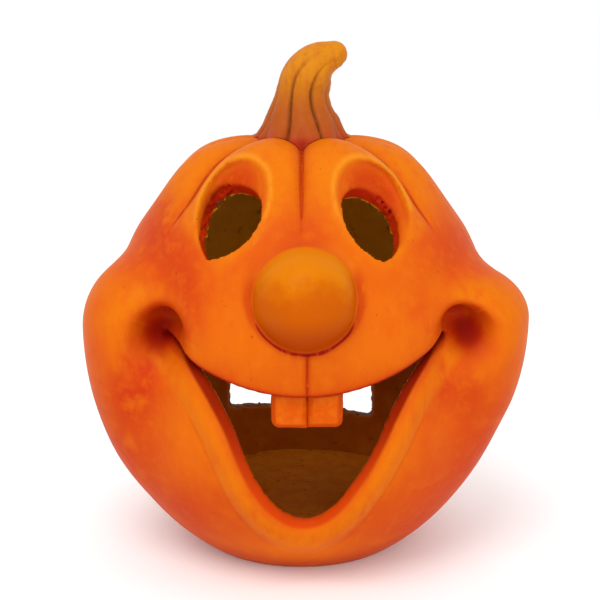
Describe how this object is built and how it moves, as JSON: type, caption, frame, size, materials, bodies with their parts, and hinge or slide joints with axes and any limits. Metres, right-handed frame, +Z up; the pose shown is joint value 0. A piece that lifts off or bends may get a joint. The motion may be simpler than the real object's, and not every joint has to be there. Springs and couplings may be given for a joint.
{
  "type": "ceramic pumpkin lantern",
  "caption": "Hollow orange ceramic pumpkin with a laughing face, cut-out eyes and mouth, round nose, two teeth, hooked stem and a back opening for a light.",
  "frame": {"origin": "on the ground, under the middle of the figure's outer box", "axes": "+Z up, the face looks along -Y, +X is to the right of someone who looks at the face"},
  "size_m": [0.2529, 0.2366, 0.2977],
  "materials": {
    "painted_ceramic": "hand-painted satin, orange with red in the recesses",
    "nose_ceramic": "hand-painted satin, yellow-orange on top",
    "tooth_ceramic": "hand-painted satin orange",
    "stem_ceramic": "hand-painted satin, ochre with brown flutes",
    "washed_clay": "bare clay with a thin olive-brown wash"
  },
  "bodies": {
    "root": {"face_shell": "painted_ceramic", "back_shell": "painted_ceramic", "floor_slab": "washed_clay", "stem": "stem_ceramic", "nose": "nose_ceramic", "tooth_left": "tooth_ceramic", "tooth_right": "tooth_ceramic"}
  },
  "joints": []
}
